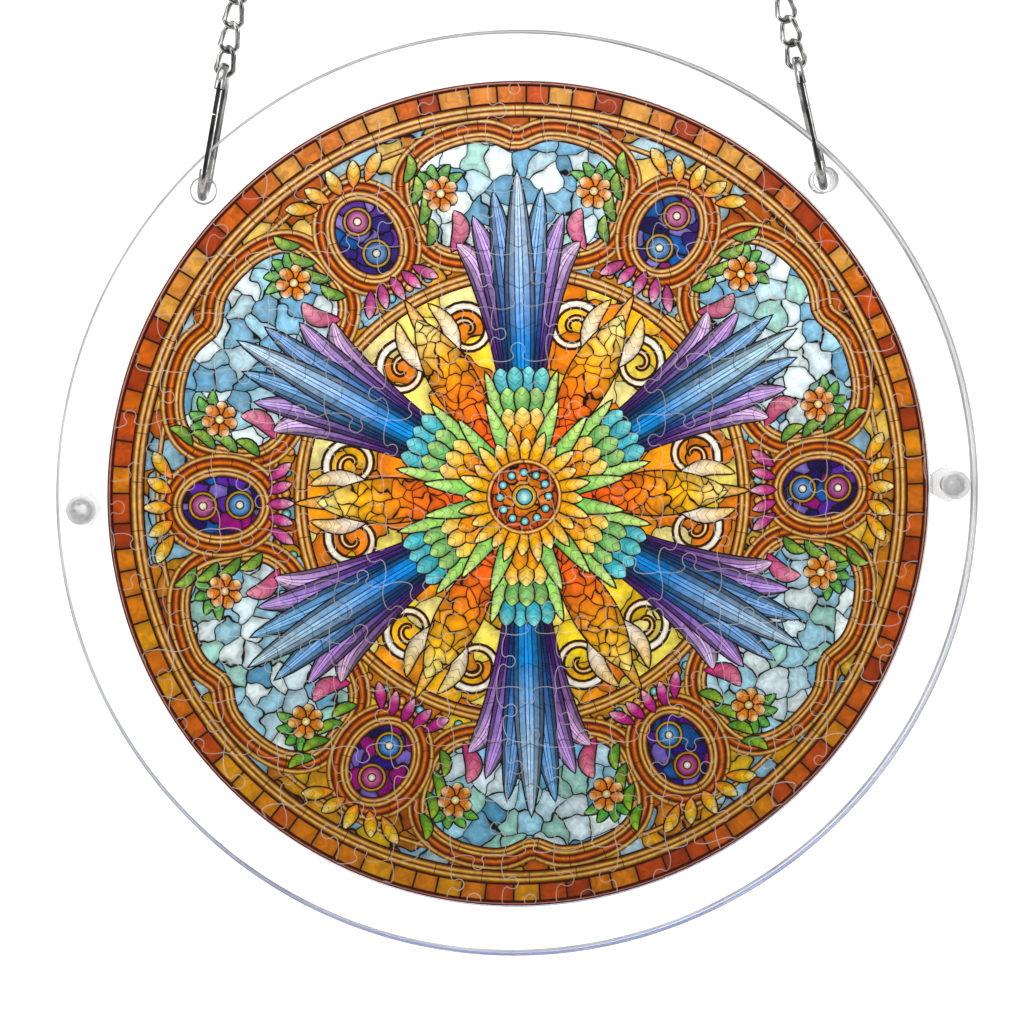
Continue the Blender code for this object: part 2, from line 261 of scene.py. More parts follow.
def makeStudio():
    floorHeight = coverLow.z - studio["floorBelow"]
    size = studio["size"]
    depth = studio["wallBehind"] + studio["floorInFront"]  # short, or the clear sheet would mirror it
    paper = newShape(bpy.ops.mesh.primitive_plane_add, (size, depth, 1), size=1,
                     location=(0, studio["wallBehind"] - depth / 2, floorHeight))
    back = studio["wallBehind"] - mm
    pick(paper, "EDGE", lambda a, b: a.y > back and b.y > back)
    bpy.ops.mesh.extrude_region_move(TRANSFORM_OT_translate={"value": (0, 0, size / 2)})
    finishEdit()
    pick(paper, "EDGE", lambda a, b: a.y > back and b.y > back and max(a.z, b.z) < floorHeight + mm)
    bpy.ops.mesh.bevel(offset=studio["bend"], segments=studio["bendSteps"])
    finishEdit()
    smoothed(paper, 60)
    whitePaper, _, _ = newMaterial("whitePaper", {
        "Base Color": (*linear(studio["paper"]), 1), "Roughness": 0.9})
    paper.data.materials.append(whitePaper)
    paper.name = "paperSweep"

    world = bpy.data.worlds.new("softRoom")
    bpy.context.scene.world = world
    world.use_nodes = True
    background = world.node_tree.nodes["Background"]
    background.inputs["Color"].default_value = (*linear(studio["worldColour"]), 1)
    background.inputs["Strength"].default_value = studio["roomLight"]

    # a grey card in front, hidden from the camera and from what shows through glass: it stands for the dark
    # room in front and gives the metal painted dark reflections
    card = newShape(bpy.ops.mesh.primitive_plane_add, size=studio["cardSize"],
                    location=(0, -studio["cardInFront"], discCentre.z), rotation=(math.radians(90), 0, 0))
    reflectionCardMaterial, _, _ = newMaterial("darkReflectionCard", {
        "Base Color": (*linear(studio["cardColour"]), 1), "Roughness": 1.0, "Specular IOR Level": 0.0})
    card.data.materials.append(reflectionCardMaterial)
    card.name = "darkCard"
    card.visible_camera = False
    card.visible_transmission = False

    for name, (offset, (width, height), power) in studio["lamps"].items():
        bpy.ops.object.light_add(type="AREA", location=discCentre + Vector(offset))
        lamp = bpy.context.object
        lamp.name = name
        lamp.data.shape = "RECTANGLE"
        lamp.data.size = width
        lamp.data.size_y = height
        lamp.data.energy = power
        aim = discCentre + Vector((0, studio["wallBehind"] if name == "paperLight" else 0, -0.05))
        lamp.rotation_euler = (aim - lamp.location).to_track_quat("-Z", "Y").to_euler()
    bpy.context.scene.view_settings.view_transform = "Standard"


makeStudio()
print("studio set")


# clear housing

housing = {
    "sides": 240,
    "edge": 0.4 * mm,
    "edgeSteps": 3,
    "recessGap": 0.3 * mm,
    "hangingHole": 6.48 * mm,
    "screwHole": 4.6 * mm,
    "holeEdge": 0.32 * mm,
    "holeSides": 48,
}
recessRadius = puzzleRadius + housing["recessGap"]
holeCircle = (discRadius + recessRadius) / 2
hangingHoles = {side: Vector((sign, 0, 1)) * holeCircle * math.sin(math.radians(45))
                for side, sign in (("left", -1), ("right", 1))}
screwPlaces = {"left": Vector((-holeCircle, 0, 0)), "right": Vector((holeCircle, 0, 0))}


def clearAcrylic():
    # polished cast acrylic: water clear, a hard gloss, only the rims draw grey and white lines
    material, _, _ = newMaterial("castAcrylic", {
        "Base Color": (*linear("#ffffff"), 1),
        "IOR": 1.49,
        "Transmission Weight": 1.0,
        "Roughness": 0.0,
        "Specular Tint": (0.35, 0.35, 0.35, 1),  # a calm sheet: it mirrors little of the room
    })
    return material


def sawnAcrylic():
    # the sawn, flame-polished wall: clear grey above, and a hazy lavender low down, a painted reflection of
    # the bench
    material = grainyMaterial(
        "sawnAcrylicEdge", {"IOR": 1.49, "Transmission Weight": 0.4}, dull=(60.0, 3.0, 0.05, 0.35))
    tree = material.node_tree
    place = addNode(tree, "TexCoord", {}).outputs["Object"]
    height = addNode(tree, "SeparateXYZ", {"Vector": place}).outputs["Z"]
    # painted reflection: the wall's colour runs from lavender at the bottom to near white higher up
    low = addNode(tree, "MapRange", {
        "Value": height, "From Min": coverLow.z, "From Max": coverLow.z + 0.9 * discRadius})
    tone = addNode(tree, "ValToRGB", {"Fac": low}, stops=[
        ("#a3aede", 0.05), ("#ccd2ee", 0.35), ("#fbfcfd", 0.9)])
    tree.links.new(tone.outputs["Color"], tree.nodes["Principled BSDF"].inputs["Base Color"])
    return material


def easedEdge():
    # the scraped corner of the sheet: a fine frosted line, grey against the white
    return grainyMaterial(
        "easedAcrylicCorner", {"IOR": 1.49, "Transmission Weight": 0.15, "Roughness": 0.35},
        tone=(35.0, 3.0, [("#a2a4a7", 0.36), ("#dfe1e2", 0.64)]))


def addDisc(radius, low, high, place, sides):
    return newShape(
        bpy.ops.mesh.primitive_cylinder_add, vertices=sides, radius=radius, depth=high - low,
        rotation=(math.radians(90), 0, 0), location=(place.x, (low + high) / 2, discCentre.z + place.z))


def fromAxis(point):
    return math.hypot(point.x, point.z - discCentre.z)


def drillHoles(piece):
    drills = [(place, housing["hangingHole"]) for place in hangingHoles.values()]
    drills += [(place, housing["screwHole"]) for place in screwPlaces.values()]
    sides, sinkDepth = housing["holeSides"], housing["holeEdge"]
    for place, width in drills:
        cutOut(piece, addDisc(width / 2, -2 * discHalf, 2 * discHalf, place, sides))
        for face in (-discHalf, discHalf):
            sink = addDisc(width / 2, face - sinkDepth, face + sinkDepth, place, sides)
            outwards = -1 if face < 0 else 1
            pick(sink, "EDGE", lambda a, b: (a.y - face) * outwards > 0 and (b.y - face) * outwards > 0)
            wider = 1 + 4 * sinkDepth / width
            bpy.ops.transform.resize(
                value=(wider, 1, wider), center_override=(place.x, face, discCentre.z + place.z))
            finishEdit()
            cutOut(piece, sink)


def easeRims(piece):
    nearRim = discRadius - hair
    pick(piece, "EDGE", lambda a, b: min(fromAxis(a), fromAxis(b)) > nearRim and abs(a.y - b.y) < hair)
    bpy.ops.mesh.bevel(offset=housing["edge"], segments=housing["edgeSteps"])
    finishEdit()


def markSawnEdges(piece):
    # walls of the rim and the holes are sawn; the corners towards the front and back are eased and frosted
    for face in piece.data.polygons:
        slope = abs(face.normal.y)
        onFace = abs(face.center.y) > discHalf - 1.2 * housing["edge"]
        inRecess = recessRadius - 0.1 * mm < fromAxis(face.center) < recessRadius + 0.1 * mm
        face.material_index = 0 if slope > 0.99 or inRecess else 2 if slope > 0.05 and onFace else 1


def finishSheet(sheet, name, node, acrylic):
    drillHoles(sheet)
    smoothed(sheet, 10)  # only round walls, or the flat faces would bend what shows through near the rims
    sheet.visible_shadow = False  # light reaches the picture through the clear sheet
    finished(sheet, name, acrylic, "clear_acrylic", node)
    markSawnEdges(sheet)


def makeCover(acrylic):
    cover = addDisc(discRadius, coverLow.y, coverHigh.y, Vector(), housing["sides"])
    easeRims(cover)
    finishSheet(cover, "frontCover", "front_cover", acrylic)


def makeTray(acrylic):
    tray = addDisc(discRadius, trayLow.y, trayHigh.y, Vector(), housing["sides"])
    easeRims(tray)
    faceDepth = trayLow.y + hair
    pick(tray, "FACE", lambda face: face.center.y < faceDepth and face.area > 1e-3)
    bpy.ops.mesh.inset(thickness=discRadius - housing["edge"] - recessRadius)
    recessDepth = puzzleHigh.y - trayLow.y + housing["recessGap"] / 2
    bpy.ops.mesh.extrude_region_move(TRANSFORM_OT_translate={"value": (0, recessDepth, 0)})
    finishEdit()
    finishSheet(tray, "backTray", "back_tray", acrylic)


acrylic = [clearAcrylic(), sawnAcrylic(), easedEdge()]
makeCover(acrylic)
makeTray(acrylic)
print("housing made")


# clear plastic screws and nuts

screws = {
    "sides": 40,
    "head": 7.8 * mm,
    "headFlat": 4.6 * mm,
    "headSide": 0.8 * mm,
    "shank": 4.0 * mm,
    "threadDepth": 0.26 * mm,
    "threadPitch": 0.7 * mm,
    "threadStart": 0.6 * mm,
    "crossLength": 4.0 * mm,
    "crossWidth": 0.9 * mm,
    "crossDepth": 1.1 * mm,
    "seatGap": 0.3 * mm,
    "nutAcross": 9.0 * mm,
    "nutEdge": 0.35 * mm,
    "nutEdgeSteps": 3,
}


def clearNylon(name, clearness, dents):
    # moulded clear plastic: glassy but a little milky, with flow marks that break up what shows through
    return grainyMaterial(name, {
        "Base Color": (*linear("#fcfcfc"), 1),
        "IOR": 1.32,  # less than solid nylon's, because the real heads are full of small flaws and look paler
        "Transmission Weight": clearness,
    }, dull=(900.0, 3.0, 0.02, 0.16), dents=(dents, 0.0004))


def turnedPiece(rings, sides):
    # a disc drawn out ring by ring, rings being (radius, height) from the near end to the far one
    radius, height = rings[0]
    piece = newShape(bpy.ops.mesh.primitive_circle_add,
                     vertices=sides, radius=radius, fill_type="NGON", location=(0, 0, height))
    bpy.ops.object.mode_set(mode="EDIT")
    bpy.ops.mesh.select_all(action="SELECT")
    for nextRadius, nextHeight in rings[1:]:
        bpy.ops.mesh.extrude_region_move(TRANSFORM_OT_translate={"value": (0, 0, nextHeight - height)})
        scale = nextRadius / radius
        bpy.ops.transform.resize(value=(scale, scale, 1), center_override=(0, 0, nextHeight))
        radius, height = nextRadius, nextHeight
    finishEdit()
    faceOutwards(piece)
    return piece


def screwRings(top, seat, end):
    head, flat = screws["head"] / 2, screws["headFlat"] / 2
    shank, root = screws["shank"] / 2, screws["shank"] / 2 - screws["threadDepth"]
    shoulder = seat + screws["headSide"]
    rings = [(flat, top)]
    for step in range(1, 7):
        angle = math.radians(90 - 15 * step)
        rings.append((flat + (head - flat) * math.cos(angle), shoulder + (top - shoulder) * math.sin(angle)))
    rings += [(head, seat), (shank, seat - hair)]
    height = seat - screws["threadStart"]
    while height - screws["threadPitch"] > end:
        rings += [(shank, height), (root, height - screws["threadPitch"] / 2)]
        height -= screws["threadPitch"]
    rings += [(shank, height), (root, end)]
    return rings


def towardsViewer(piece, place):
    piece.rotation_euler = (math.radians(90), 0, 0)
    piece.location = discCentre + place
    applyPlace(piece)


def makeScrew(side, plastic):
    low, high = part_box(side + "_screw")
    seat = discHalf + screws["seatGap"]
    screw = turnedPiece(screwRings(-low.y, seat, -high.y), screws["sides"])
    for turn in (0, 90):
        cross = (screws["crossLength"], screws["crossWidth"], 2 * screws["crossDepth"])
        cutOut(screw, newShape(bpy.ops.mesh.primitive_cube_add, cross, size=1,
                               location=(0, 0, -low.y), rotation=(0, 0, math.radians(turn))))
    towardsViewer(screw, screwPlaces[side])
    smoothed(screw, 40)
    finished(screw, side + "Screw", plastic, "clear_nylon", side + "_screw")


def makeNut(side, plastic):
    low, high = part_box(side + "_nut")
    corner = screws["nutAcross"] / 2 / math.cos(math.radians(30))
    depth = high.y - low.y
    nut = newShape(
        bpy.ops.mesh.primitive_cylinder_add, vertices=6, radius=corner, depth=depth,
        location=(0, 0, -(low.y + high.y) / 2), rotation=(0, 0, math.radians(30 if side == "left" else 0)))
    pick(nut, "EDGE", lambda a, b: abs(a.z - b.z) < hair)
    bpy.ops.mesh.bevel(offset=screws["nutEdge"], segments=screws["nutEdgeSteps"])
    finishEdit()
    cutOut(nut, newShape(bpy.ops.mesh.primitive_cylinder_add, vertices=screws["sides"],
                         radius=housing["screwHole"] / 2, depth=3 * depth, location=(0, 0, -low.y)))
    towardsViewer(nut, screwPlaces[side])
    smoothed(nut, 30)
    finished(nut, side + "Nut", plastic, "clear_nylon", side + "_nut")


screwPlastic = clearNylon("mouldedClearPlastic", 0.7, 0.9)
nutPlastic = clearNylon("glassyClearPlastic", 0.8, 0.25)
for side in ("left", "right"):
    makeScrew(side, screwPlastic)
    makeNut(side, nutPlastic)
print("screws and nuts made")


# nickel rings and twisted chain, on the same joints as the solids

hanging = {
    "ringWire": 2.6 * mm,
    "ringEye": 32.2 * mm,
    "ringSidePlay": 1.0 * mm,
    "ringJointDrop": 12.2 * mm,
    "ringJointEdge": 0.15 * mm,
    "ringTurns": {"left": math.radians(-5), "right": math.radians(-12)},
    "ringTurnRoom": 0.5 * mm,
    "linkWire": 1.5 * mm,
    "linkEye": 6.2 * mm,
    "linkEyePlay": 0.35 * mm,
    "linkTwist": math.radians(-90),
    "linkRestTurn": math.radians(30),
    "linksPerSide": 55,
    "gap": 0.3 * mm,
    "bite": 0.3 * mm,
    "ringSegments": (48, 20),
    "linkSegments": (24, 10),
}


def nickelPlate():
    # bright nickel on bent steel wire: mirror streaks, broken by drawing marks and a grey cast in the bends
    return grainyMaterial(
        "nickelPlatedWire", {"Metallic": 1.0}, tone=(260.0, 4.0, [("#8c8b8a", 0.35), ("#d6d5d2", 0.62)]),
        dull=(2600.0, 2.0, 0.04, 0.13), dents=(0.12, 0.00004))


def falling(slope):
    return Vector((math.cos(slope), 0, -math.sin(slope)))


def rightHalf(slope):
    level, shoulder, steep = falling(0), falling(slope / 2), falling(slope)
    eye, wire = hanging["linkEye"], hanging["linkWire"]
    slack = wire * (1 - math.cos(slope / 4))
    start = Vector((eye / 2, 0, wire / 2)) - (level + shoulder).normalized() * (hanging["gap"] + slack)
    links = [(start, shoulder)]
    start = start + shoulder * eye - (shoulder + steep).normalized() * (slack - hanging["bite"])
    for _ in range(hanging["linksPerSide"] - 1):
        links.append((start, steep))
        start = start + steep * (eye + hanging["bite"])
    ringFoot = start - steep * (hanging["bite"] + hanging["gap"]) + steep * hanging["ringEye"]
    inner = discHalf + hanging["ringSidePlay"]
    sag = inner - math.sqrt(inner ** 2 - discHalf ** 2)
    hole = ringFoot + steep * (housing["hangingHole"] / 2 - sag - hanging["gap"] - hanging["ringTurnRoom"])
    return links, ringFoot, hole


def findSlope():
    low, high = 0.0, math.radians(90)
    for _ in range(50):
        middle = (low + high) / 2
        if rightHalf(middle)[2].x > hangingHoles["right"].x:
            low = middle
        else:
            high = middle
    return (low + high) / 2


def longOval(eyeWidth, eyeLength, wire, around, section, turn=0):
    # a torus pulled apart at its middle, its long way along Y
    oval = newShape(
        bpy.ops.mesh.primitive_torus_add, major_radius=(eyeWidth + wire) / 2, minor_radius=wire / 2,
        major_segments=around, minor_segments=section, rotation=(0, 0, math.radians(turn)))
    straight = eyeLength - eyeWidth
    for half in (1, -1):
        pick(oval, "EDGE", lambda a, b: min(a.y * half, b.y * half) > -hair)
        bpy.ops.transform.translate(value=(0, half * straight / 2, 0))
        finishEdit()
    return oval


def makeRing(side, slope, nickel):
    sign = 1 if side == "right" else -1
    _, foot, _ = rightHalf(slope)
    up = -falling(slope)
    foot, up = (Vector((sign * v.x, v.y, v.z)) for v in (foot, up))
    wire, eye = hanging["ringWire"], hanging["ringEye"]
    eyeWidth = 2 * (discHalf + hanging["ringSidePlay"])
    straight = eye - eyeWidth
    around, section = hanging["ringSegments"]
    ring = longOval(eyeWidth, eye, wire, around, section, turn=180 / around)
    # the front leg is opened and drawn out again to its butt joint
    joint = eye / 2 - hanging["ringJointDrop"]
    gap = hanging["gap"] / 2
    pick(ring, "FACE", lambda face: face.center.x > 0 and abs(face.center.y) < 0.4 * straight)
    bpy.ops.mesh.delete(type="FACE")
    finishEdit()
    edgeHeight = straight / 2
    for half in (1, -1):
        pick(ring, "EDGE", lambda a, b: a.x > 0 and b.x > 0 and abs(a.y - b.y) < hair
                  and 0 < half * a.y < edgeHeight + 0.6 * mm)
        target = joint + half * gap
        bpy.ops.mesh.extrude_edges_move(TRANSFORM_OT_translate={"value": (0, 0, 0)})
        bpy.ops.transform.resize(value=(1, 0, 1), center_override=(0, target, 0))
        bpy.ops.mesh.edge_face_add()
        bpy.ops.mesh.bevel(offset=hanging["ringJointEdge"], segments=2)
        finishEdit()
    faceOutwards(ring)
    front = Matrix.Rotation(hanging["ringTurns"][side], 3, up) @ Vector((0, -1, 0))
    axes = Matrix((front, up, front.cross(up))).transposed().to_4x4()
    ring.matrix_world = Matrix.Translation(foot + up * (eye / 2)) @ axes
    applyPlace(ring)
    smoothed(ring, 40)
    finished(ring, side + "Ring", nickel, "nickel_plated_steel", side + "_ring")


def makeLinkShape():
    wire = hanging["linkWire"]
    eyeWidth = max(hanging["ringWire"], wire) + 2 * hanging["linkEyePlay"]
    link = longOval(eyeWidth, hanging["linkEye"], wire, *hanging["linkSegments"])
    link.rotation_euler = (math.radians(90), 0, 0)
    applyPlace(link)
    reach = hanging["linkEye"] / 2 + wire
    for vertex in link.data.vertices:
        share = min(max((vertex.co.z / reach + 1) / 2, 0), 1)
        vertex.co.rotate(Matrix.Rotation(hanging["linkTwist"] * share * share * (3 - 2 * share), 3, "Z"))
    return link


def linkPlace(start, along, roll):
    depth = Vector((0, 1, 0))
    axes = Matrix((depth.cross(along), depth, along)).transposed() @ Matrix.Rotation(roll, 3, "Z")
    return Matrix.Translation(start + along * hanging["linkEye"] / 2) @ axes.to_4x4()


def makeChain(slope, nickel):
    right, _, _ = rightHalf(slope)
    left = []
    for start, along in reversed(right):
        end = start + along * hanging["linkEye"]
        left.append((Vector((-end.x, end.y, end.z)), Vector((along.x, along.y, -along.z))))
    middle = (Vector((-hanging["linkEye"] / 2, 0, hanging["linkWire"] / 2)), falling(0))
    places = [*left, middle, *right]
    link = makeLinkShape()
    groups = {"leftChain": [], "hangingLink": [], "rightChain": []}
    firstRoll = hanging["ringTurns"]["left"] + hanging["linkRestTurn"]
    lastRoll = hanging["linkTwist"] - hanging["ringTurns"]["right"] - hanging["linkRestTurn"]
    for index, (start, along) in enumerate(places):
        group = "leftChain" if index < len(left) else "hangingLink" if index == len(left) else "rightChain"
        copy = link.copy()
        copy.data = link.data.copy()
        bpy.context.collection.objects.link(copy)
        roll = firstRoll + (lastRoll - firstRoll) * index / (len(places) - 1)
        copy.data.transform(linkPlace(start, along, roll))
        groups[group].append(copy)
    bpy.data.objects.remove(link)
    for (name, copies), node in zip(groups.items(), ("left_chain", "hanging_link", "right_chain")):
        focus(copies[0])
        for copy in copies:
            copy.select_set(True)
        if len(copies) > 1:
            bpy.ops.object.join()
        strand = copies[0]
        smoothed(strand, 60)
        finished(strand, name, nickel, "nickel_plated_steel", node)


nickel = nickelPlate()
slope = findSlope()
for side in ("left", "right"):
    makeRing(side, slope, nickel)
makeChain(slope, nickel)
print("rings and chain made")


# printed picture: flat shapes of ink in many thin layers, in mm from the disc's middle, x right and z up

picture = {
    "layer": 0.008 * mm,
    "layers": 27,
    "radius": 111.7,
    "sectors": 6,
    "leadLine": "#1c0b06",
    "variation": 0.06,
    # painted light round the middle: from and to this distance, painted brighter by this and by this
    "glow": (0.02, 0.075, 1.28, 1.0),
    # painted light by height: this far below and above the middle, the painted light's strength and its depth
    # of colour
    "fall": 0.11,
    "fallLight": (0.64, 1.1),
    "fallDepth": (1.2, 0.98),
    # brush marks all over, and a slow drift that bends the mosaic's leads by so many mm
    "brush": {"Scale": 0.42, "Detail": 4.0, "Distortion": 0.8},
    "brushLight": (0.3, 0.7, 0.78, 1.22),
    "drift": {"Scale": 0.16, "Detail": 1.0},
    "driftReach": 5.0,
}
drawn = {"points": [], "faces": [], "glass": [], "side": [], "edge": [], "along": [], "paint": []}


def polar(radius, degrees):
    angle = math.radians(degrees)
    return radius * math.sin(angle), radius * math.cos(angle)


def arc(radius, start, end, steps):
    return [polar(radius, start + (end - start) * i / steps) for i in range(steps + 1)]


def swung(path, degrees):
    angle = math.radians(degrees)
    c, s = math.cos(angle), math.sin(angle)
    return [(x * c + z * s, z * c - x * s) for x, z in path]


def flowing(knots, steps):
    # a smooth line through its knots
    ends = [knots[0], *knots, knots[-1]]
    path = []
    for i in range(len(knots) - 1):
        p, q, r, s = ends[i:i + 4]
        for step in range(steps):
            t = step / steps
            path.append(tuple(
                0.5 * (2 * q[k] + (r[k] - p[k]) * t + (2 * p[k] - 5 * q[k] + 4 * r[k] - s[k]) * t ** 2
                       + (3 * q[k] - p[k] - 3 * r[k] + s[k]) * t ** 3) for k in (0, 1)))
    return [*path, knots[-1]]


def shade(colour):
    # a written colour gets a little of the hand's variation, a mixed one stays as it is
    if not isinstance(colour, str):
        return colour
    spread = picture["variation"]
    lift = 1 + chance.uniform(-spread, spread) * 2
    return tuple(min(max(v * lift * (1 + chance.uniform(-spread, spread)), 0), 1) for v in linear(colour))


def blended(first, second, share):
    return tuple(a + (b - a) * share for a, b in zip(first, second))


def addPoint(x, z, level, side, edge, along, paint):
    drawn["points"].append((x, level, z))
    drawn["side"].append(side)
    drawn["edge"].append(edge)
    drawn["along"].append(along)
    drawn["paint"].append(paint)
    return len(drawn["points"]) - 1


def addFace(corners, glass):
    drawn["faces"].append(corners)
    drawn["glass"].append(list(inks).index(glass))


def stroke(path, halfWidth, level, glass, paint, closed=False):
    # a strip along a path; halfWidth and paint are one value or one for each point
    count = len(path)
    widths = halfWidth if isinstance(halfWidth, list) else [halfWidth] * count
    paints = paint if isinstance(paint, list) else [paint] * count
    run = 0.0
    rows = []
    for i, (x, z) in enumerate(path):
        before = path[i - 1] if i else path[-2] if closed else path[0]
        after = path[i + 1] if i < count - 1 else path[1] if closed else path[-1]
        dx, dz = after[0] - before[0], after[1] - before[1]
        length = math.hypot(dx, dz) or 1.0
        run += math.dist(path[i], path[i - 1]) if i else 0.0
        ux, uz = dx / length, dz / length
        rows.append([
            addPoint(x - uz * side, z + ux * side, level, side, widths[i] - abs(side), run, paints[i])
            for side in (-widths[i], 0.0, widths[i])])
    for near, far in zip(rows, rows[1:]):
        for k in (0, 1):
            addFace((near[k], far[k], far[k + 1], near[k + 1]), glass)


def pane(outline, level, glass, paint, centre=None, glow=None):
    # a filled shape whose outline runs once round, without its first point again
    middle = centre or tuple(sum(p[k] for p in outline) / len(outline) for k in (0, 1))
    area = sum(a[0] * b[1] - b[0] * a[1] for a, b in zip(outline, outline[1:] + outline[:1]))
    outline = outline if area > 0 else outline[::-1]
    depth = min(math.dist(middle, p) for p in outline) * 0.9
    paint = shade(paint)
    glow = shade(glow) if glow else paint
    rings = []
    for share in (1.0, 0.5):
        rings.append([addPoint(*blended(middle, p, share), level, depth * share, depth * (1 - share), 0.0,
                               blended(glow, paint, share)) for p in outline])
    heart = addPoint(*middle, level, 0.0, depth, 0.0, glow)
    for i in range(len(outline)):
        j = (i + 1) % len(outline)
        addFace((rings[0][i], rings[0][j], rings[1][j], rings[1][i]), glass)
        addFace((rings[1][i], rings[1][j], heart), glass)


def closedArc(radius, steps):
    return arc(radius, 0, -360, steps)


def ring(radius, halfWidth, level, glass, steps=180):
    stroke(closedArc(radius, steps), halfWidth, level, glass, (1, 1, 1), closed=True)


def bead(centre, radius, level, paint, glow, sides=10):
    outline = [(centre[0] + x, centre[1] + z) for x, z in closedArc(radius, sides)[:-1]]
    pane(outline, level, "beadGlass", paint, centre, glow)


def leafWidths(count, peak, widest=0.5, base=0.0):
    widths = []
    for i in range(count):
        t = i / (count - 1)
        if t < widest:
            widths.append(base + (peak - base) * math.sin(t / widest * math.pi / 2) ** 0.9)
        else:
            widths.append(max(peak * math.cos((t - widest) / (1 - widest) * math.pi / 2) ** 0.85, 0.02))
    return widths


def leaf(knots, peak, level, colours, widest=0.5, steps=5, base=0.0, glass="petalGlass"):
    # a tapering petal, blade or leaf along its midrib, its colours running from base to tip
    path = flowing(knots, steps)
    tones = [shade(colour) for colour in colours]
    paints = []
    for i in range(len(path)):
        t = i / (len(path) - 1) * (len(tones) - 1)
        low = min(int(t), len(tones) - 2)
        paints.append(blended(tones[low], tones[low + 1], t - low))
    stroke(path, leafWidths(len(path), peak, widest, base), level, glass, paints)


def petal(angle, knots, *look):
    # a leaf whose knots are given by radius and degrees, turned round the middle
    leaf(swung([polar(*knot) for knot in knots], angle), *look)


# the inks, each a set of values for printGlass

inks = {
    # gold, amber and pale green ground of the wide ring
    "earthMosaic": {"cell": 7.0,
                    "colours": ["#e8a838", "#b8dae4", "#f2cc66", "#c8601c", "#a0cce0", "#dc8a2c"]},
    # yellow to orange rays round the heart
    "sunMosaic": {"cell": 9.5, "lead": 0.2, "gain": 1.25,
                  "colours": ["#fae87c", "#f8cf4c", "#f49a28", "#fbeb9c", "#f8dc60", "#ee8420", "#f6b93a"]},
    # pale sea greens of the windows
    "tealMosaic": {"cell": 6.2, "lead": 0.2, "gain": 1.28,
                   "colours": ["#a8d4e4", "#dceef4", "#8cc0dc", "#c2e0ea", "#a6d4c8", "#e6f4f4", "#78b0d0"]},
    # deep violets and blues of the side lights
    "violetMosaic": {"cell": 4.4,
                     "colours": ["#3a2a86", "#6a3fb0", "#1f5fb0", "#a03080", "#241a5c", "#8f7fd0"]},
    # one pane for each shape, in the shape's own colour
    "petalGlass": {"outline": 0.46, "sheen": (1.34, 0.6), "ribs": (2.6, 0.9, 0.10)},
    "bladeGlass": {"outline": 0.42, "sheen": (1.75, 1.2), "ribs": (11.0, 0.5, 0.03),
                   "strips": [("#9c9c9c", 0.0), ("#4a4a4a", 0.15), ("#dcdcdc", 0.19), ("#5a5a5a", 0.36),
                              ("#ffffff", 0.4), ("#6a6a6a", 0.49), ("#eeeeee", 0.52), ("#5a5a5a", 0.63),
                              ("#b8b8b8", 0.67), ("#4a4a4a", 0.82), ("#848484", 0.86)]},
    "scaleGlass": {"outline": 0.42, "cell": 3.4, "sheen": (1.3, 0.72), "lead": 0.17},
    "beadGlass": {"outline": 0.34, "sheen": (1.35, 0.62)},
    "goldMoulding": {"joints": 13.0,
                     "bands": [("#1c0904", 0.0), ("#9a4212", 0.12), ("#ffc858", 0.24), ("#fff0b4", 0.31),
                               ("#c8641c", 0.42), ("#240c06", 0.49), ("#f09a30", 0.57), ("#ffe49a", 0.67),
                               ("#a84a14", 0.82), ("#1c0904", 0.93)]},
    "emberMoulding": {"joints": 9.5,
                      "bands": [("#1c0904", 0.0), ("#7a240c", 0.14), ("#e05c18", 0.36), ("#ffa03c", 0.48),
                                ("#a83c14", 0.72), ("#1c0904", 0.9)]},
    "thinMoulding": {"joints": 10.0,
                     "bands": [("#1c0904", 0.0), ("#d07c24", 0.24), ("#ffe69a", 0.46), ("#b8601c", 0.7),
                               ("#1c0904", 0.86)]},
    "rimInk": {"bands": [("#2c0806", 0.0), ("#7a2414", 0.25), ("#f0b8a0", 0.42), ("#8a2c18", 0.56),
                         ("#2c0806", 0.85)]},
    "tileBorder": {"outline": 0.4, "tiles": 7.0, "lead": 0.26,
                   "paneLight": (2.4, 0.74, 1.12), "paneLuck": (1, 1),
                   "colours": ["#dc6c22", "#e88c36", "#d0561e", "#eeaa4e", "#e27e2e", "#b0441c", "#e89844"]},
}


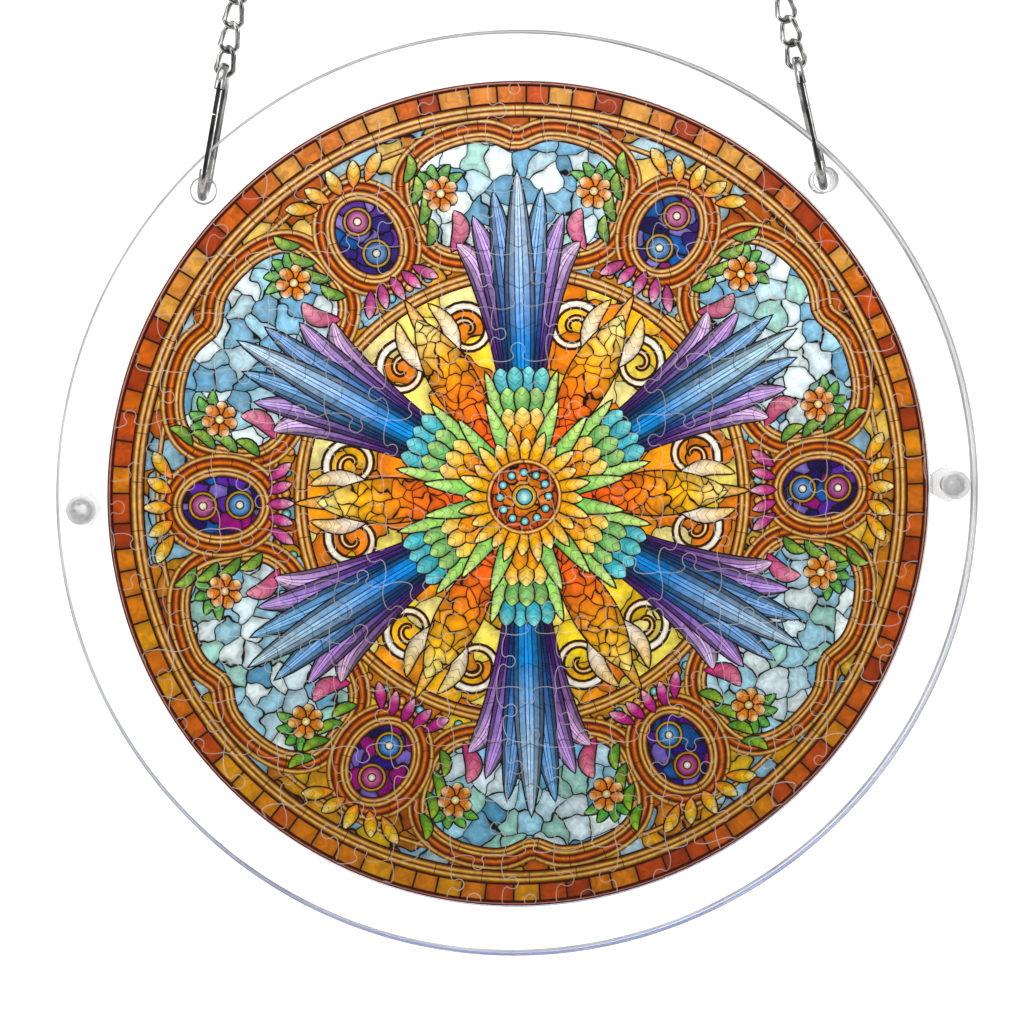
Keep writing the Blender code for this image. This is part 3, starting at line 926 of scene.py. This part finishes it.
def printGlass(name, look):
    # translucent inks under clear lacquer: glossy colour in leaded panes, brushed lighter and darker by hand
    material, tree, shader = newMaterial(name, {"Roughness": 0.35, "Specular IOR Level": 0.1})
    place = addNode(tree, "TexCoord", {}).outputs["Object"]
    flat = addNode(tree, "Mapping", {
        "Vector": place, "Rotation": (math.radians(-90), 0, 0), "Scale": (1000, 1000, 1000)})
    side, edge, along = (addNode(tree, "Attribute", {}, attribute_name=key).outputs["Fac"]
                         for key in ("side", "edge", "along"))
    colour = addNode(tree, "Attribute", {}, attribute_name="paint").outputs["Color"]
    across = addNode(tree, "Math", {0: side}, operation="ABSOLUTE")
    halfWidth = addNode(tree, "Math", {0: across, 1: edge}, operation="ADD")
    brush = addNode(tree, "TexNoise", {"Vector": flat, **picture["brush"]}, noise_dimensions="2D")
    # lights brighten and darken the colour: a value, its range, and the light at both ends
    # leads draw dark lines over it: a value, its range, and the strength at the low end
    lights = [(brush, *picture["brushLight"])]
    leads = []
    stops = [(tone, i / len(look["colours"])) for i, tone in enumerate(look.get("colours", []))]
    lead = look.get("lead", 0.25)
    if "cell" in look:
        drift = addNode(tree, "TexNoise", {"Vector": flat, **picture["drift"]}, noise_dimensions="2D")
        push = addNode(tree, "VectorMath", {
            0: drift.outputs["Color"], "Scale": picture["driftReach"]}, operation="SCALE")
        bent = addNode(tree, "VectorMath", {0: flat, 1: push}, operation="ADD")
        size, dimensions, layout = look["cell"], "2D", {"Vector": bent, "Randomness": 0.9}
    if "tiles" in look:
        size, dimensions, layout = look["tiles"], "1D", {"W": along, "Randomness": 0.55}
    if "cell" in look or "tiles" in look:
        layout["Scale"] = 1 / size
        panes = addNode(tree, "TexVoronoi", layout, voronoi_dimensions=dimensions)
        borders = addNode(
            tree, "TexVoronoi", layout, voronoi_dimensions=dimensions, feature="DISTANCE_TO_EDGE")
        dice = addNode(tree, "SeparateColor", {"Color": panes.outputs["Color"]})
        inside = addNode(tree, "Math", {0: borders, 1: size}, operation="MULTIPLY")
        lights.append((inside, 0, *look.get("paneLight", (0.32 * size, 0.66, 1.18))))
        lights.append((dice.outputs["Green"], 0, 1, *look.get("paneLuck", (0.78, 1.2))))
        leads.append((inside, 0.7 * lead, 1.35 * lead, 1.0))
        if stops:
            colour = addNode(tree, "ValToRGB", {"Fac": dice}, stops=stops, stepped=True)
    if "bands" in look or "strips" in look:
        signed = addNode(tree, "Math", {0: side, 1: halfWidth}, operation="DIVIDE")
        share = addNode(tree, "MapRange", {"Value": signed, "From Min": -1.0})
    if "bands" in look:
        colour = addNode(tree, "ValToRGB", {"Fac": share}, stops=look["bands"])
    if "strips" in look:
        strips = addNode(tree, "ValToRGB", {"Fac": share}, stops=look["strips"], stepped=True)
        lights.append((strips, 0, 1, 0, 1))
    if "joints" in look:
        lengths = addNode(tree, "Math", {0: along, 1: look["joints"]}, operation="DIVIDE")
        part = addNode(tree, "Math", {0: lengths}, operation="FRACT")
        leads.append((part, 0.18 / look["joints"], 0.32 / look["joints"], 0.85))
    if "sheen" in look:
        fromMiddle = addNode(tree, "Math", {0: across, 1: halfWidth}, operation="DIVIDE")
        lights.append((fromMiddle, 0.15, 1, *look["sheen"]))
    if "ribs" in look:
        spacing, slant, ribWidth = look["ribs"]
        lean = addNode(tree, "Math", {0: across, 1: slant}, operation="MULTIPLY")
        climb = addNode(tree, "Math", {0: along, 1: lean}, operation="SUBTRACT")
        barbs = addNode(tree, "Math", {0: climb, 1: spacing}, operation="DIVIDE")
        part = addNode(tree, "Math", {0: barbs}, operation="FRACT")
        leads.append((part, 0.7 * ribWidth, 1.4 * ribWidth, 0.55))
    if "outline" in look:
        leads.append((edge, 0.75 * look["outline"], 1.25 * look["outline"], 1.0))
    # painted light and shade: the lower half is painted darker and deeper in colour, the top lighter, and the
    # middle painted brighter as a glow
    away = addNode(tree, "VectorMath", {0: place, 1: discCentre}, operation="DISTANCE")
    height = addNode(tree, "SeparateXYZ", {"Vector": place}).outputs["Z"]
    bottom, top = discCentre.z - picture["fall"], discCentre.z + picture["fall"]
    fall = [look.get("gain", 1.0) * light for light in picture["fallLight"]]
    lights += [(away.outputs["Value"], *picture["glow"]), (height, bottom, top, *fall)]
    low, high = picture["fallDepth"]
    depth = addNode(tree, "MapRange", {
        "Value": height, "From Min": bottom, "From Max": top, "To Min": low, "To Max": high})
    value = 1.0
    for source, start, end, first, last in lights:
        light = addNode(tree, "MapRange", {
            "Value": source, "From Min": start, "From Max": end, "To Min": first, "To Max": last})
        value = addNode(tree, "Math", {0: value, 1: light}, operation="MULTIPLY")
    painted = addNode(tree, "HueSaturation", {"Saturation": depth, "Value": value, "Color": colour})
    for source, start, end, strength in leads:
        mask = addNode(tree, "MapRange", {
            "Value": source, "From Min": start, "From Max": end, "To Min": strength, "To Max": 0.0})
        painted = addNode(tree, "MixRGB", {
            "Fac": mask, "Color1": painted, "Color2": (*linear(picture["leadLine"]), 1)})
    tree.links.new(painted.outputs[0], shader.inputs["Base Color"])
    return material


# the picture: a plain rose window of six fans, six side lights and a sunny middle

def evenly(outline, count):
    # the same closed line, its points at equal steps
    closed = [*outline, outline[0]]
    runs = [0.0]
    for a, b in zip(closed, closed[1:]):
        runs.append(runs[-1] + math.dist(a, b))
    even = []
    k = 0
    for i in range(count):
        wanted = runs[-1] * i / count
        while runs[k + 1] < wanted:
            k += 1
        even.append(blended(closed[k], closed[k + 1], (wanted - runs[k]) / (runs[k + 1] - runs[k])))
    return even


def grown(outline, offset):
    wide = []
    for i, (x, z) in enumerate(outline):
        before, after = outline[i - 1], outline[(i + 1) % len(outline)]
        dx, dz = after[0] - before[0], after[1] - before[1]
        length = math.hypot(dx, dz)
        wide.append((x + dz / length * offset, z - dx / length * offset))
    return wide


def windowOutline():
    outline = []
    for i in range(400):
        t = 2 * math.pi * (i + 0.5) / 400
        c, s = math.cos(t), math.sin(t)
        out = math.copysign(abs(c) ** 0.6, c)
        turn = math.copysign(abs(s) ** 0.62, s) * 19.3
        notch = max(out, 0) * (1.6 - 3.4 * math.exp(-(turn / 3.4) ** 2))
        outline.append(polar(81.0 + 14.6 * out + notch, -turn))
    return evenly(outline, 110)


def sideLightOutline():
    turns = [2 * math.pi * i / 400 for i in range(400)]
    return evenly([(-8.6 * math.sin(t), 81.5 + 11.2 * math.cos(t)) for t in turns], 64)


def framed(outline, level):
    mouldings = ((4.6, 0.85, "thinMoulding"), (2.85, 1.2, "emberMoulding"), (0.5, 1.55, "goldMoulding"))
    for offset, halfWidth, glass in mouldings:
        path = grown(outline, offset)
        stroke([*path, path[0]], halfWidth, level, glass, (1, 1, 1), closed=True)
        level += 1


def rose(centre, radius, level, petals):
    colour, glow, core = shade("#f08a1c"), shade("#c8401c"), shade("#f8c83a")
    for i in range(petals):
        angle = 360 * i / petals + chance.uniform(-6, 6)
        side, tip = polar(radius * 0.55, angle + 14), polar(radius, angle)
        knots = [centre, *((centre[0] + x, centre[1] + z) for x, z in (side, tip))]
        leaf(knots, radius * 0.4, level + 0.2 * i, [glow, colour, "#fff2c8"], 0.66, 4)
    bead(centre, radius * 0.3, level + 2, core, "#fff6d8")


def fan(angle):
    # seven blades from the heart to the rim, the outer ones lying lowest
    tones = {0: ("#157ca4", "#3a8cd8", "#d4eefc"), 1: ("#1a66a8", "#2c68c4", "#a4d0f8"),
             2: ("#33449c", "#6c4cb8", "#dcb8f4"), 3: ("#24549c", "#8c54c4", "#f4d4f4")}
    for k in (3, 2, 1, 0):
        for sign in ((-1, 1) if k else (1,)):
            tip = 88 - 4.4 * k ** 1.25 + chance.uniform(-0.8, 0.8)
            spread = ((12, 2.8), (24, 2.3), (42, 2.3), (62, 3.3), (tip, 4.6))
            knots = [(r, sign * k * a) for r, a in spread]
            petal(angle, knots, 4.3 - 0.2 * k, 12 - k + 0.2 * sign, tones[k], 0.7, 6, 0.6, "bladeGlass")
    # four rows of scales cover the blades' feet
    rows = ((34, 4, "#1f9cb4", "#8fe0e0"), (28.5, 3, "#2f9c5e", "#c0e08a"),
            (23, 3, "#f0a020", "#fce890"), (18.5, 2, "#e06018", "#f8b840"))
    for row, (radius, count, *scaleTones) in enumerate(rows):
        for i in range(count):
            turn = (i - (count - 1) / 2) * (6.4 + row * 1.6)
            knots = [(radius + step, turn) for step in (-6.5, -2, 1.5)]
            petal(angle, knots, 2.5, 13 + row + 0.3 * (i % 2), scaleTones, 0.55, 4, 0.9)


def window(angle):
    outline = swung(windowOutline(), angle)
    framed(outline, 5)
    pane(outline, 4, "tealMosaic", (1, 1, 1), polar(81, angle))
    for sign in (-1, 1):
        # leaves and a small rose in each upper corner
        foot = polar(84.5, sign * 14.2)
        for step, spread in enumerate((-50, -20, 15, 45, 80)):
            along = polar(8.4, spread * sign)
            tip = (foot[0] + along[0], foot[1] + along[1])
            middle = blended(foot, tip, 0.55)
            middle = (middle[0] + sign * 0.9, middle[1] + 0.5)
            leaf(swung([foot, middle, tip], angle), 1.9, 8 + 0.2 * step, ("#1f7a4c", "#8fd06a"), 0.45, 4)
        rose(polar(84.5, sign * 14.2 + angle), 4.9, 13, 7)
        # a leaning leaf at the window's foot
        knots = [(68.5, sign * 15.5), (74, sign * 12), (79.5, sign * 12.6)]
        petal(angle, knots, 2.6, 7.5, ("#c03878", "#f4a8b8"))


def sideLight(angle):
    outline = swung(sideLightOutline(), angle)
    framed(outline, 14)
    pane(outline, 13, "violetMosaic", (1, 1, 1), polar(81.5, angle))
    for offset, tone, glow in ((4.9, "#a03080", "#f0a0c0"), (-4.9, "#2f6fc8", "#a8d8f4")):
        centre = polar(81.5 + offset, angle)
        bead(centre, 4.1, 15, "#f0b030", "#ffe8a0", 20)
        bead(centre, 3.2, 16, tone, glow, 18)
        bead(centre, 1.3, 17, "#fff0b0", "#ffffff")
    for k in (-2, -1, 1, 2, 0):
        # a crown of petals above it, a smaller one below
        level = 18.5 - 0.4 * abs(k)
        outer = [(94.5, k * 2.2), (98, k * 3.4), (102.6 - 1.2 * abs(k), k * 4.3)]
        petal(angle, outer, 2.1, level, ("#e8601c", "#f8c040", "#fff2b8"))
        inner = [(69.5, k * 2.6), (66, k * 3.8), (61.8 + 0.8 * abs(k), k * 5.0)]
        petal(angle, inner, 1.8, level, ("#8a2c6a", "#d05a9a", "#f8c8d8"))
    for sign in (-1, 1):
        for step in range(4):
            low = 72 + step * 6.0
            knots = [(low, sign * 10.2), (low + 3.4, sign * 12.3), (low + 7.2, sign * 12.6)]
            petal(angle, knots, 1.8, 10 + step % 2, ("#2f7c3c", "#b8d860"), 0.45, 4)


def bud(angle):
    # a scaly teardrop between two fans, in a calyx of green leaves, with a flame on top
    for sign in (-1, 1):
        for bend, reach, peak, level in ((15, 36, 2.8, 8), (10, 28, 2.5, 18)):
            knots = [(12, sign * 3), (reach * 0.55, sign * bend), (reach, sign * bend * 0.92)]
            petal(angle, knots, peak, level, ("#2a8a54", "#7cc860", "#dcf09a"), 0.5, 6, 0.6)
    flames = ((-7.5, 58.5, "#ffffff", "#f8d060"), (7.5, 58.5, "#ffffff", "#f8d060"),
              (0, 62.5, "#fff6d0", "#f4a830"))
    for turn, reach, *tones in flames:
        knots = [(40, turn * 0.4), (50, turn), (reach, turn * 0.62)]
        petal(angle, knots, 2.5, 11 if turn else 12, tones, 0.42, 5, 0.8)
    knots = [(radius, 0) for radius in (14, 30, 44, 56)]
    tones = ("#dc401a", "#f8782a", "#fdbc48", "#fff0a0")
    petal(angle, knots, 6.4, 17, tones, 0.5, 8, 1.2, "scaleGlass")


def scroll(angle, sign):
    path = []
    for i in range(34):
        t = i / 33
        turn = sign * (t * 560 - 40)
        radius = 6.6 * (1 - t) ** 0.8 + 0.5
        x, z = polar(radius, turn)
        path.append((x, z + 47.5))
    path = swung(path, angle + sign * 12.2)
    widths = [1.15 - 0.75 * i / 33 for i in range(34)]
    creams = [blended(linear("#fffdf0"), linear("#f6b850"), i / 33) for i in range(34)]
    stroke(path, [w + 0.42 for w in widths], 7, "beadGlass", shade("#7a3a10"))
    stroke(path, widths, 8, "beadGlass", creams)


def heart():
    for i in range(24):
        knots = [(6, i * 15), (12, i * 15 + 2), (18.6 if i % 2 else 16.2, i * 15 + 4)]
        petal(0, knots, 2.0, 20 + i % 2, ("#c8641c", "#f4b030", "#fff0a8"), 0.55, 4, 0.5)
    pane(closedArc(9.6, 40)[:-1], 22, "scaleGlass", "#d8481c", (0, 0), "#f8a030")
    ring(9.6, 0.75, 23, "thinMoulding", 48)
    for i in range(12):
        bead(polar(6.6, i * 30), 1.35, 24, "#1f98a8", "#b0ecec")
    bead((0, 0), 3.6, 24, "#f0a828", "#fff2b0", 20)
    bead((0, 0), 2.4, 25, "#1fa8bc", "#d0f6f4", 16)


def drawPicture():
    pane(closedArc(picture["radius"], 192)[:-1], 0, "earthMosaic", (1, 1, 1), (0, 0))
    pane(closedArc(60, 120)[:-1], 2, "sunMosaic", (1, 1, 1), (0, 0))
    for radius in (98.4, 67.4):
        ring(radius, 0.8, 1, "thinMoulding")
    ring(60.4, 1.9, 3, "goldMoulding")
    for i in range(72):
        tones = ("#1f98a8", "#b0ecec") if i % 2 else ("#e8701c", "#ffd890")
        bead(polar(64.3, i * 5 + 2.5), 1.45, 4, *tones, 8)
    for k in range(picture["sectors"]):
        window(60 * k)
    for k in range(picture["sectors"]):
        angle = 60 * k + 30
        for sign in (-1, 1):
            scroll(angle, sign)
        sideLight(angle)
        bud(angle)
    for k in range(picture["sectors"]):
        fan(60 * k)
    heart()
    ring(103.8, 1.9, 23, "goldMoulding", 192)
    ring(108.1, 2.5, 24, "tileBorder", 192)
    ring(111.05, 0.62, 25, "rimInk", 192)


drawPicture()
print("picture drawn,", len(drawn["faces"]), "faces")


def meshPiece(name, points, faces):
    mesh = bpy.data.meshes.new(name)
    mesh.from_pydata(points, [], faces)
    piece = bpy.data.objects.new(name, mesh)
    bpy.context.collection.objects.link(piece)
    return piece


def printedSheet(name, front):
    # the ink as a mesh on one face of the jigsaw disc; the back shows the same picture from behind
    step = picture["layer"] * (1 if front else -1)
    depth = picture["layer"] * picture["layers"]
    base = puzzleLow.y + depth if front else puzzleHigh.y - depth
    points = [(x * mm, base - level * step, discCentre.z + z * mm) for x, level, z in drawn["points"]]
    sheet = meshPiece(name, points, drawn["faces"] if front else [face[::-1] for face in drawn["faces"]])
    for key in ("side", "edge", "along"):
        sheet.data.attributes.new(key, "FLOAT", "POINT").data.foreach_set("value", drawn[key])
    colours = [value for paint in drawn["paint"] for value in (*paint, 1.0)]
    sheet.data.color_attributes.new("paint", "FLOAT_COLOR", "POINT").data.foreach_set("color", colours)
    return sheet


glasses = [printGlass(name, look) for name, look in inks.items()]
for name, front in (("printFront", True), ("printBack", False)):
    sheet = printedSheet(name, front)
    finished(sheet, name, glasses, "printed_acrylic", *(["puzzle_disc"] if front else []))
    sheet.data.polygons.foreach_set("material_index", drawn["glass"])
    sheet.data.update()
print("printed sheets made")


# the disc itself, one whole slab, with the wavy lines it is sawn along drawn on both faces

jigsaw = {
    "sides": 256,
    "rows": 15,
    "pitch": 14.9,
    "jitter": 1.6,
    "cutHalf": 0.12,
    "knob": [(0.0, 0.0), (0.18, -0.035), (0.36, -0.01), (0.425, 0.06), (0.385, 0.145), (0.40, 0.235),
             (0.5, 0.285), (0.60, 0.235), (0.615, 0.145), (0.575, 0.06), (0.64, -0.01), (0.82, -0.035),
             (1.0, 0.0)],
}


def puzzleAcrylic():
    # cast acrylic under the ink: its sawn edge catches the light as a milky amber line
    return grainyMaterial("inkedAcrylicEdge", {"Roughness": 0.35, "IOR": 1.49},
                          tone=(220.0, 3.0, [("#7a3a1c", 0.35), ("#c8925c", 0.65)]))


def makeSlab():
    depth = picture["layer"] * (picture["layers"] + 1)
    slab = addDisc(puzzleRadius, puzzleLow.y + depth, puzzleHigh.y - depth, Vector(), jigsaw["sides"])
    smoothed(slab)
    finished(slab, "jigsawDisc", puzzleAcrylic(), "printed_acrylic", "puzzle_disc")


makeSlab()
print("jigsaw disc made")


def cutPath(start, end, flip):
    # one side of a jigsaw piece, with its knob to one hand or the other
    dx, dz = end[0] - start[0], end[1] - start[1]
    sign = -1 if flip else 1
    lean = chance.uniform(-0.035, 0.035)
    swell = chance.uniform(0.86, 1.08)
    knots = []
    for t, out in jigsaw["knob"]:
        t = 0.5 + (t - 0.5) * (swell if 0.3 < t < 0.7 else 1) + (lean if 0.1 < t < 0.9 else 0)
        out *= sign * swell
        knots.append((start[0] + dx * t - dz * out, start[1] + dz * t + dx * out))
    return flowing(knots, 3)


def withinPicture(path, radius):
    runs, run = [], []
    for point in path:
        if math.hypot(*point) < radius:
            run.append(point)
        elif run:
            runs.append(run)
            run = []
    return [r for r in [*runs, run] if len(r) > 1]


def makeCuts(material):
    rows, pitch, jitter = jigsaw["rows"], jigsaw["pitch"], jigsaw["jitter"]
    corners = {}
    for i in range(rows + 1):
        for j in range(rows + 1):
            corners[i, j] = ((i - rows / 2) * pitch + chance.uniform(-jitter, jitter),
                             (j - rows / 2) * pitch + chance.uniform(-jitter, jitter))
    points, faces = [], []
    for (i, j), corner in corners.items():
        for beside in ((i + 1, j), (i, j + 1)):
            if beside not in corners:
                continue
            path = cutPath(corner, corners[beside], chance.random() < 0.5)
            for run in withinPicture(path, puzzleRadius / mm - 0.4):
                first = len(points)
                for k, (x, z) in enumerate(run):
                    before, after = run[max(k - 1, 0)], run[min(k + 1, len(run) - 1)]
                    dx, dz = after[0] - before[0], after[1] - before[1]
                    length = math.hypot(dx, dz) or 1.0
                    for hand in (-1, 1):
                        offset = hand * jigsaw["cutHalf"] / length
                        points.append(((x - dz * offset) * mm, discCentre.z + (z + dx * offset) * mm))
                for k in range(len(run) - 1):
                    a = first + 2 * k
                    faces.append((a, a + 2, a + 3, a + 1))
    for name, depth in (("frontCuts", puzzleLow.y), ("backCuts", puzzleHigh.y)):
        turned = faces if name == "frontCuts" else [face[::-1] for face in faces]
        cuts = meshPiece(name, [(x, depth, z) for x, z in points], turned)
        cuts.visible_shadow = False
        finished(cuts, name, material, "printed_acrylic")


def sawnLine():
    # the saw's narrow gap, a half-clear pale strip: partly the gap itself, partly a painted glint of the bare
    # edges of the pieces
    return grainyMaterial("jigsawCut", {"Roughness": 0.4, "Alpha": 0.45},
                          tone=(90.0, 2.0, [("#e8d4bc", 0.38), ("#ffffff", 0.62)]))


makeCuts(sawnLine())
print("jigsaw cuts made")
